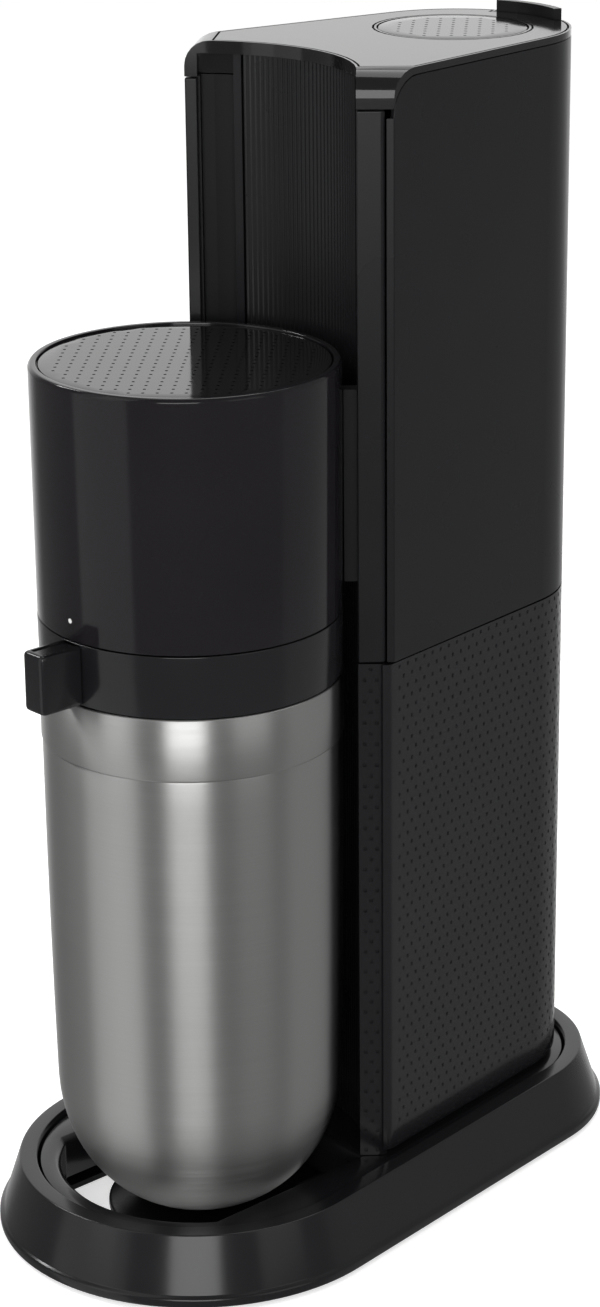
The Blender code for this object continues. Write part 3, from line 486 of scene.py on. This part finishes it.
def finished_copy(name, node, material, body, slot, edge, sharp=38):
    """A new piece with a CAD node's shape, its flats made whole and its edges eased by edge."""
    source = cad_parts[node].data
    bm = bmesh.new()
    bm.from_mesh(source)
    bmesh.ops.remove_doubles(bm, verts=bm.verts, dist=2e-6)
    bmesh.ops.dissolve_limit(bm, angle_limit=math.radians(0.6), verts=bm.verts, edges=bm.edges)
    obj = piece(name, bm, material, body, slot, node, sharp=sharp)
    modifier = obj.modifiers.new("eased edges", "BEVEL")
    modifier.width = edge
    modifier.segments = 3
    modifier.limit_method = "ANGLE"
    modifier.angle_limit = math.radians(32)
    modifier.harden_normals = True
    return obj


finished_copy("cover_upper_shell", "cover_upper", satin_abs, "rear_cover", "satin_black", 0.75 * MM)

POST_INNER_X, POST_INNER_Y = 44.3 * MM, 39.8 * MM
post_low, post_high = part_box("post_lower_right")
face_in = Vector((POST_INNER_X, BOTTLE_Y + POST_INNER_Y))
face_out = Vector((post_high.x - 0.1 * MM, 0))
face_out.y = face_in.y + (face_out.x - face_in.x) * math.tan(SLANT)
post_face = [face_in, face_out]
post_back = [face_out + Vector((0, 1.9 * MM)), face_in + Vector((-1.3 * MM, 4.3 * MM)),
             face_in + Vector((-2.6 * MM, 3.2 * MM))]
for side, front_line, back_line in (("right", post_face, post_back),
                                    ("left", mirrored(post_face), mirrored(post_back))):
    finished_copy(f"post_upper_{side}_moulding", f"post_upper_{side}", satin_abs, "base",
                  "satin_black", 0.6 * MM)
    post = dimpled_prism(front_line, back_line, post_low.z, post_high.z)
    piece(f"post_lower_{side}_moulding", post, semi_gloss_abs, "base", "textured_black",
          f"post_lower_{side}", sharp=50)

# ---- Ribbed front panel --------------------------------------------------------------------------
# The hollow front of the tower, behind the head: one curved panel of satin ABS, moulded with upright
# flutes two millimetres apart, so that each rib carries a thin line of light. It clips to the frame.

FLUTE_PITCH = 2.0 * MM
FLUTE_DEPTH = 0.35 * MM
panel_low, panel_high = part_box("ribbed_panel")
PANEL_T = 2.0 * MM
PANEL_R = panel_high.y - BOTTLE_Y - PANEL_T
reach = math.degrees(math.acos(panel_high.x / (PANEL_R + PANEL_T)))
flutes = round(math.radians(180 - 2 * reach) * PANEL_R / FLUTE_PITCH)
FLUTE_STEPS = 6
ribs = []
for i in range(flutes * FLUTE_STEPS + 1):
    angle = math.radians(reach + (180 - 2 * reach) * i / (flutes * FLUTE_STEPS))
    dip = FLUTE_DEPTH * abs(math.sin(math.pi * i / FLUTE_STEPS))
    radius = PANEL_R + dip
    ribs.append((radius * math.cos(angle), BOTTLE_Y + radius * math.sin(angle)))
back_wall = [tuple(p) for p in arc(PANEL_R + PANEL_T, 180 - reach, reach, BOTTLE_Y)]
heights = (panel_low.z, panel_high.z)
panel = loft([[(x, y, up) for x, y in ribs + back_wall] for up in heights], cyclic=False)
piece("fluted_panel", panel, satin_abs, "base", "satin_black", "ribbed_panel", sharp=60)

# ---- Top cap, carbonation button and latch -------------------------------------------------------
# The cap is polished ABS, clipped over the frame, with a bullnose over each post and an arched brow
# over the hollow front. The button sits flush in it; the latch tab pivots on a pin behind the button.

# Polished ABS: near-black, with clear reflections that turn almost white at a low angle.
polished_abs = moulded("black ABS, polished", "#141314", "#1a191a", 0.09, 1.46, 0.7 * MM,
                       0.004 * MM)

cap = finished_copy("cap_moulding", "top_cap", polished_abs, "base", "gloss_black", 0.3 * MM,
                    sharp=30)
cap_bm = bmesh.new()
cap_bm.from_mesh(cap.data)
cap_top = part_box("top_cap")[1].z
plateau = [face for face in cap_bm.faces
           if face.normal.z > 0.99 and face.calc_center_median().z > cap_top - 0.1 * MM]
# A shadow groove follows the edge and the button: a margin, down one wall, across, up the other. The
# groove's walls and floor take the dark unpolished ABS as painted shade.
MARGIN, GROOVE_WALL, GROOVE_W, GROOVE_H = 0.8 * MM, 0.05 * MM, 0.7 * MM, 1.1 * MM
for thickness, depth, shade_slot in ((MARGIN, 0.0, 0), (GROOVE_WALL, -GROOVE_H, 1), (GROOVE_W, 0.0, 1),
                               (GROOVE_WALL, GROOVE_H, 1)):
    added = bmesh.ops.inset_region(cap_bm, faces=plateau, use_boundary=True, use_even_offset=True,
                                   thickness=thickness, depth=depth)
    for strip in added["faces"]:
        strip.material_index = shade_slot
cap.data.materials.append(inner_abs_and_shade)
cap_bm.to_mesh(cap.data)
cap_bm.free()

DOT_PITCH = (6.7 * MM, 7.0 * MM)
DOT_R = 0.65 * MM
DOT_DEPTH = 1.0 * MM
DOT_DRAFT = 0.9


def circle(radius, up, middle_y, sides):
    """Points of a level circle round an upright axis on the middle plane."""
    return [(*spot, up) for spot in arc(radius, 0, 360 - 360 / sides, middle_y, 360 / sides)]


def dotted_disc(profile, middle_y, dotted_r, sides=120):
    """A turned disc whose flat top carries a staggered field of small drilled dots.

    profile runs from the top's edge down the side; its last ring is closed flat underneath.
    """
    bm = bmesh.new()
    rings = [[bm.verts.new(point) for point in circle(radius, up, middle_y, sides)]
             for radius, up in profile]
    for one, two in zip(rings, rings[1:]):
        for i in range(len(one)):
            j = (i + 1) % len(one)
            bm.faces.new((one[i], one[j], two[j], two[i]))
    bm.faces.new(rings[-1])
    up = profile[0][1]
    loops = [rings[0]]
    columns = int(2 * dotted_r / DOT_PITCH[0]) + 1
    lines = int(2 * dotted_r / DOT_PITCH[1]) + 1
    for shift in (0.0, 0.5):
        for i in range(-columns, columns + 1):
            for j in range(-lines, lines + 1):
                x, y = (i + shift) * DOT_PITCH[0], (j + shift) * DOT_PITCH[1]
                if math.hypot(x, y) > dotted_r:
                    continue
                mouth, floor = [], []
                for line, radius, deep in ((mouth, DOT_R, 0.0),
                                           (floor, DOT_DRAFT * DOT_R, DOT_DEPTH)):
                    for k in range(6):
                        a = math.radians(60 * k)
                        spot = (x + radius * math.cos(a), middle_y + y + radius * math.sin(a))
                        line.append(bm.verts.new((*spot, up - deep)))
                for k in range(6):
                    bm.faces.new((mouth[k], mouth[(k + 1) % 6], floor[(k + 1) % 6], floor[k]))
                # Each dot's floor takes the second material, dark unpolished ABS, as painted shade in
                # the hole.
                bm.faces.new(floor).material_index = 1
                loops.append(mouth)
    flat_fill(bm, loops)
    return bm


button_low, button_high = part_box("carbonation_button")
BUTTON_R = button_high.x
button_y = (button_low.y + button_high.y) / 2
face = button_high.z
BUTTON_WALL = 2.0 * MM
BUTTON_FACE_T = 4.0 * MM
button_profile = [(BUTTON_R - 0.7 * MM, face), (BUTTON_R - 0.3 * MM, face - 0.1 * MM),
                  (BUTTON_R - 0.05 * MM, face - 0.35 * MM), (BUTTON_R, face - 0.8 * MM),
                  (BUTTON_R, button_low.z), (BUTTON_R - BUTTON_WALL, button_low.z),
                  (BUTTON_R - BUTTON_WALL, face - BUTTON_FACE_T)]
button = dotted_disc(button_profile, button_y, BUTTON_R - 4.0 * MM)
# The button's dot floors take the dark unpolished ABS as painted shade.
piece("button_cap", button, polished_abs, "button", "gloss_black", "carbonation_button", sharp=30,
      shade_material=inner_abs_and_shade)

finished_copy("latch_tab", "cover_latch", satin_abs, "cover_latch", "gloss_black", 0.5 * MM)

# ---- Carbonating head ----------------------------------------------------------------------------
# A round hood of ABS moulded with a fine mica fleck, closed by a polished top panel that is glued in
# behind a rolled lip and drilled with staggered dots. Two arms carry it on the tower's rails.

# Flecked ABS: dark, very slightly warm, with pinpoint sparks of mica under half a millimetre apart.
flecked_abs = moulded("black ABS, mica flecked", "#151315", "#1a181b", 0.11, 1.38, 0.5 * MM,
                      0.006 * MM)
plain = flecked_abs.node_tree.nodes["Principled BSDF"].inputs["Base Color"].links[0].from_socket
spots = add(flecked_abs, "ShaderNodeTexVoronoi", {"Scale": 1 / (0.45 * MM)},
            {"Vector": add(flecked_abs, "ShaderNodeTexCoord").outputs["Object"]})
spark = add(flecked_abs, "ShaderNodeMapRange", {"From Min": 0.16, "From Max": 0.10},
            {"Value": spots.outputs["Distance"]})
mixed = add(flecked_abs, "ShaderNodeMix", {"B": linear("#3a383c")},
            {"Factor": spark.outputs["Result"], "A": plain}, data_type="RGBA")
feed(flecked_abs, {"Base Color": mixed})


def turned(section, middle_y, cyclic=True, sides=128):
    """A body turned round an upright axis from (radius, height) points.

    The section is closed; without cyclic it is a line whose two ends are closed flat near the axis.
    """
    return loft([circle(radius, up, middle_y, sides) for radius, up in section], cyclic)


head_low, head_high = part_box("head_shell")
HEAD_R = head_high.x
HEAD_DRAFT = 0.3 * MM
LIP = 3.0 * MM
HEAD_T = 2.5 * MM
seat = HEAD_R - LIP
shell_section = rounded([
    (HEAD_R - HEAD_DRAFT, head_low.z, 0.3 * MM),
    (HEAD_R, head_high.z - 1.2 * MM, 1.0 * MM),
    (HEAD_R - 0.8 * MM, head_high.z, 0.9 * MM),
    (seat + 0.2 * MM, head_high.z, 0.5 * MM),
    (seat, head_high.z - 1.2 * MM, 0),
    (seat, head_high.z - 3.0 * MM, 0),
    (seat - HEAD_T, head_high.z - 3.2 * MM, 0),
    (seat - HEAD_T, head_high.z - 4.8 * MM, 0),
    (HEAD_R - HEAD_T, head_high.z - 7.0 * MM, 0),
    (HEAD_R - 2.7 * MM, head_low.z, 0),
])
piece("head_hood", turned(shell_section, BOTTLE_Y), flecked_abs, "head", "fleck_black",
      "head_shell")

disc_low, disc_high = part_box("head_top_panel")
DISC_R = disc_high.x
up = disc_high.z
disc_profile = [(DISC_R - 0.6 * MM, up), (DISC_R - 0.2 * MM, up - 0.1 * MM),
                (DISC_R, up - 0.5 * MM), (DISC_R, disc_low.z)]
disc = dotted_disc(disc_profile, BOTTLE_Y, DISC_R - 3.2 * MM)
# The panel's dot floors take the dark unpolished ABS as painted shade.
piece("head_dotted_panel", disc, polished_abs, "head", "gloss_black", "head_top_panel", sharp=30,
      shade_material=inner_abs_and_shade)

# The white spot that the lock lever is lined up with, pad printed on the hood.
# Printed ink: flat white, a little dull.
ink = new_material("white ink, pad printed", Roughness=0.55)
ink_grain = add(ink, "ShaderNodeTexNoise", {"Scale": 1 / (0.3 * MM)},
                {"Vector": add(ink, "ShaderNodeTexCoord").outputs["Object"]})
ink_tint = add(ink, "ShaderNodeMix", {"A": linear("#d8d8d6"), "B": linear("#f0f0ee")},
               {"Factor": ink_grain.outputs["Fac"]}, data_type="RGBA")
feed(ink, {"Base Color": ink_tint})
spot_bm = bmesh.new()
SPOT_R = 0.9 * MM
SPOT_RISE = 7.0 * MM
spot_y = BOTTLE_Y - HEAD_R + HEAD_DRAFT * 0.9
spot_z = head_low.z + SPOT_RISE
INK_PROUD, INK_SUNK, SPOT_SIDES = 0.06 * MM, 0.3 * MM, 12
rings = []
for deep in (-INK_PROUD, INK_SUNK):
    turns = [2 * math.pi * k / SPOT_SIDES for k in range(SPOT_SIDES)]
    points = [(SPOT_R * math.cos(a), spot_y + deep, spot_z + SPOT_R * math.sin(a)) for a in turns]
    rings.append([spot_bm.verts.new(point) for point in points])
    spot_bm.faces.new(rings[-1])
for k in range(SPOT_SIDES):
    j = (k + 1) % SPOT_SIDES
    spot_bm.faces.new((rings[0][k], rings[0][j], rings[1][j], rings[1][k]))
piece("alignment_spot", spot_bm, ink, "head", "fleck_black")

# ---- Lock ring and lever -------------------------------------------------------------------------
# The bayonet ring that turns under the head, and the fin that turns it, moulded as one in semi-gloss
# ABS. The fin has eased edges and a shallow pocket in its top.

ring_low, ring_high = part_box("lock_ring")
RING_R = ring_high.x
BORE = 51.0 * MM
ring_section = rounded([
    (RING_R - 0.3 * MM, ring_low.z, 0.4 * MM),
    (RING_R, ring_high.z, 0.4 * MM),
    (BORE - 1.0 * MM, ring_high.z, 0),
    (BORE - 1.0 * MM, ring_high.z - 5.0 * MM, 0),
    (BORE, ring_high.z - 6.0 * MM, 0),
    (BORE, ring_low.z, 0),
])
ring = turned(ring_section, BOTTLE_Y)
piece("ring_moulding", ring, semi_gloss_abs, "lock_ring", "satin_black", "lock_ring")

fin_low, fin_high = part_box("lock_lever")


def fin_outline(inset):
    """The lever in plan: a bar with a rounded outer end."""
    half = fin_high.x - inset
    front, root = fin_low.y + inset, fin_high.y
    ease = 2.0 * MM - 0.5 * inset
    return rounded([(half, root, 0), (-half, root, 0), (-half, front, ease), (half, front, ease)])


fin_steps = ((1.4, 0.0), (0.6, 0.25), (0.15, 0.8), (0.0, 1.6))
levels = [(across * MM, fin_low.z + rise * MM) for across, rise in fin_steps]
levels += [(across * MM, fin_high.z - rise * MM) for across, rise in reversed(fin_steps)]
levels += [(2.0 * MM, fin_high.z), (2.2 * MM, fin_high.z - 0.5 * MM)]
fin = loft([[(x, y, z) for x, y in fin_outline(across)] for across, z in levels], cyclic=False)
piece("lever_moulding", fin, semi_gloss_abs, "lock_ring", "satin_black", "lock_lever", sharp=45)

# ---- Steel canister and glass bottle -------------------------------------------------------------
# A drawn stainless cup, brushed round its axis: a plain band at the mouth, a fine step below it, a
# slight taper and a deep rounded bottom. It stands loose on the pedestal, the clear bottle inside it.

# Brushed stainless steel: horizontal hairlines pull every reflection out into tall soft bands.
steel = new_material("stainless steel, brushed round", Metallic=1.0, Anisotropic=0.9,
                     Anisotropic_Rotation=0.25)
place = add(steel, "ShaderNodeTexCoord").outputs["Object"]
# Hairlines are about 0.1 mm wide. They are drawn at 0.5 mm, as fine as they can show, and run on
# for about 56 mm.
HAIR_LENGTH = 1 / 18
HAIR_WIDTH = 0.5 * MM
stretch = add(steel, "ShaderNodeMapping",
              {"Scale": (1 / HAIR_LENGTH, 1 / HAIR_LENGTH, 1 / HAIR_WIDTH)}, {"Vector": place})
hair = add(steel, "ShaderNodeTexNoise", {"Scale": 1.0, "Detail": 4.0, "Roughness": 0.65},
           {"Vector": stretch.outputs["Vector"]})
hair_gloss = add(steel, "ShaderNodeMapRange", {"To Min": 0.28, "To Max": 0.48},
                 {"Value": hair.outputs["Fac"]})
hair_tint = add(steel, "ShaderNodeMix", {"A": linear("#b0b0af"), "B": linear("#bdbdbc")},
                {"Factor": hair.outputs["Fac"]}, data_type="RGBA")
hair_bump = add(steel, "ShaderNodeBump", {"Strength": 0.10, "Distance": 0.02 * MM},
                {"Height": hair.outputs["Fac"]})
round_about = add(steel, "ShaderNodeTangent", direction_type="RADIAL", axis="Z")
feed(steel, {"Roughness": hair_gloss, "Base Color": hair_tint, "Normal": hair_bump,
             "Tangent": round_about})

can_low, can_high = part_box("canister_shell")
CAN_R = can_high.x
CAN_T = 1.6 * MM
CAN_STEP = 0.4 * MM
CAN_TAPER = 1.2 * MM
BAND = 22.5 * MM
DOME_TOP = 64.0 * MM
CAN_ROUND = 2.15
DOME_STEPS = 24
WALL_STEPS = 12


def dome(inset):
    """The rounded bottom from its upper edge to the axis, moved in by inset."""
    radius = CAN_R - CAN_STEP - CAN_TAPER - inset
    depth = DOME_TOP - can_low.z - inset
    power = 2 / CAN_ROUND
    turns = [math.radians(90 * k / DOME_STEPS) for k in range(1, DOME_STEPS)]
    return [(radius * math.cos(a) ** power, DOME_TOP - depth * math.sin(a) ** power) for a in turns]


def wall(inset):
    """The cup's line from its mouth to the axis, moved in by inset."""
    shoulder = CAN_R - CAN_STEP - inset
    band_foot = can_high.z - BAND
    body_top = band_foot - 1.2 * MM
    line = [(CAN_R - inset, can_high.z - 0.3 * MM), (CAN_R - inset, band_foot + 0.5 * MM),
            (CAN_R - inset - 0.12 * MM, band_foot + 0.1 * MM),
            (shoulder - 0.15 * MM, band_foot - 0.4 * MM), (shoulder, body_top)]
    for k in range(1, WALL_STEPS + 1):
        t = k / WALL_STEPS
        line.append((shoulder - CAN_TAPER * t * t, body_top - (body_top - DOME_TOP) * t))
    return line + dome(inset)


LIP_EASE = 0.3 * MM
mouth = [(CAN_R - LIP_EASE, can_high.z), (CAN_R - CAN_T + LIP_EASE, can_high.z)]
can_line = wall(0.0)[::-1] + mouth + wall(CAN_T)
cup = turned(can_line, BOTTLE_Y, cyclic=False)
piece("canister_cup", cup, steel, "base", "brushed_steel", "canister_shell", sharp=50)

# Clear soda-lime glass: colourless, with a trace of green where it is thick.
glass = new_material("soda-lime glass, blown", IOR=1.5, Roughness=0.02, Transmission_Weight=1.0)
ripple = add(glass, "ShaderNodeTexNoise", {"Scale": 1 / (25 * MM)},
             {"Vector": add(glass, "ShaderNodeTexCoord").outputs["Object"]})
glass_tint = add(glass, "ShaderNodeMix", {"A": linear("#f2f7f6"), "B": linear("#ffffff")},
                 {"Factor": ripple.outputs["Fac"]}, data_type="RGBA")
feed(glass, {"Base Color": glass_tint})
dress(glass, "glass_bottle")
# Grey silicone: the soft, matt seal that presses on the bottle's mouth.
silicone = moulded("grey silicone, moulded", "#77787a", "#8a8b8d", 0.6, 1.41, 0.6 * MM, 0.02 * MM)
dress(silicone, "nozzle_seal")

# ---- Floor, light and camera ---------------------------------------------------------------------
# A pale painted floor under soft studio light. A broad bright field lies behind the object, a tall
# reflecting board stands on each side of it, and five softboxes light it from round about.

# Matt white paint: even and bright, with barely visible mottling and a steady glow of its own.
GLOW = 0.62
paint = new_material("white paint, matt", Roughness=0.9, Specular_IOR_Level=0.1,
                     Emission_Strength=GLOW)
mottle = add(paint, "ShaderNodeTexNoise", {"Scale": 1 / 0.4},
             {"Vector": add(paint, "ShaderNodeTexCoord").outputs["Object"]})
paint_tint = add(paint, "ShaderNodeMix", {"A": linear("#f4f4f4"), "B": linear("#fafafa")},
                 {"Factor": mottle.outputs["Fac"]}, data_type="RGBA")
feed(paint, {"Base Color": paint_tint, "Emission Color": paint_tint})
FLOOR_R = 14.0
floor_bm = bmesh.new()
bmesh.ops.create_circle(floor_bm, cap_ends=True, segments=96, radius=FLOOR_R)
floor_mesh = bpy.data.meshes.new("floor")
floor_bm.to_mesh(floor_mesh)
floor_bm.free()
floor_mesh.materials.append(paint)
floor = bpy.data.objects.new("floor", floor_mesh)
bpy.context.scene.collection.objects.link(floor)
# The floor is kept out of mirror-like reflections, so that the lower black parts stay black.
floor.visible_glossy = False

AZIMUTH = math.radians(46.17)
ELEVATION = math.radians(19.75)
CAMERA_PLACE = Vector((0.8652, BOTTLE_Y - 0.7292, 0.6236))

DIM, BRIGHT = 0.21, 1.15
BEHIND_START, BEHIND_FULL, BEHIND_RISE = 0.60, 0.98, 0.25
BOARD_EDGE = 1.5
world = bpy.data.worlds.new("studio")
world.use_nodes = True
aim = add(world, "ShaderNodeTexCoord").outputs["Generated"]
behind = add(world, "ShaderNodeVectorMath",
             {1: (-math.sin(AZIMUTH), math.cos(AZIMUTH), BEHIND_RISE)},
             {0: aim}, operation="DOT_PRODUCT")
ramp = add(world, "ShaderNodeMapRange",
           {"From Min": BEHIND_START, "From Max": BEHIND_FULL, "To Min": DIM, "To Max": BRIGHT},
           {"Value": behind.outputs["Value"]}, interpolation_type="SMOOTHSTEP")
total = ramp.outputs["Result"]
flat = add(world, "ShaderNodeVectorMath", {1: (1.0, 1.0, 0.0)}, {0: aim}, operation="MULTIPLY")
level = add(world, "ShaderNodeVectorMath", links={0: flat.outputs["Vector"]}, operation="NORMALIZE")
# The tall boards: the bearing of each from the camera's own, its half width, both in degrees, and its
# strength. Their edges are soft over three degrees.
for bearing, half, strength in ((-63, 23, 0.50), (108, 30, 0.12)):
    toward = AZIMUTH + math.radians(bearing)
    along = add(world, "ShaderNodeVectorMath", {1: (math.sin(toward), -math.cos(toward), 0.0)},
                {0: level.outputs["Vector"]}, operation="DOT_PRODUCT")
    board = add(world, "ShaderNodeMapRange",
                {"From Min": math.cos(math.radians(half + BOARD_EDGE)),
                 "From Max": math.cos(math.radians(half - BOARD_EDGE)), "To Max": strength},
                {"Value": along.outputs["Value"]}, interpolation_type="SMOOTHSTEP")
    both = add(world, "ShaderNodeMath", links={0: total, 1: board.outputs["Result"]})
    total = both.outputs["Value"]
background = world.node_tree.nodes["Background"]
world.node_tree.links.new(total, background.inputs["Strength"])
background.inputs["Color"].default_value = linear("#ffffff")
bpy.context.scene.world = world
AIM_HEIGHT = 180 * MM


def softbox(name, bearing, distance, height, width, tall, power):
    """A softbox aimed at the object, at a bearing in degrees from the camera's own."""
    light = bpy.data.lights.new(name, "AREA")
    light.shape = "RECTANGLE"
    light.size = width
    light.size_y = tall
    light.energy = power
    obj = bpy.data.objects.new(name, light)
    angle = AZIMUTH + math.radians(bearing)
    obj.location = (math.sin(angle) * distance, -math.cos(angle) * distance, height)
    way = Vector((0.0, BOTTLE_Y, AIM_HEIGHT)) - obj.location
    obj.rotation_euler = way.to_track_quat("-Z", "Y").to_euler()
    bpy.context.scene.collection.objects.link(obj)


softbox("softbox_left", -55, 1.3, 0.75, 0.45, 1.3, 0.8)
softbox("softbox_high", -110, 1.2, 1.25, 0.16, 0.5, 6.0)
softbox("softbox_front", -3, 1.9, 0.68, 0.95, 1.2, 15)
softbox("softbox_right", 45, 1.4, 0.8, 0.75, 1.3, 1.8)
softbox("softbox_top", 150, 0.5, 1.9, 1.2, 1.2, 11)

SENSOR, LENS = 36.0, 92.7406
SHIFT_X, SHIFT_Y = -0.0742158, 0.0082632
CLIP_END = 60.0
lens = bpy.data.cameras.new("camera")
lens.sensor_width = SENSOR
lens.lens = LENS
lens.shift_x, lens.shift_y = SHIFT_X, SHIFT_Y
lens.clip_end = CLIP_END
camera = bpy.data.objects.new("camera", lens)
camera.location = CAMERA_PLACE
back = Vector((math.sin(AZIMUTH) * math.cos(ELEVATION), -math.cos(AZIMUTH) * math.cos(ELEVATION),
               math.sin(ELEVATION)))
camera.rotation_euler = back.to_track_quat("Z", "Y").to_euler()
bpy.context.scene.collection.objects.link(camera)
bpy.context.scene.camera = camera
bpy.context.scene.view_settings.view_transform = "Standard"
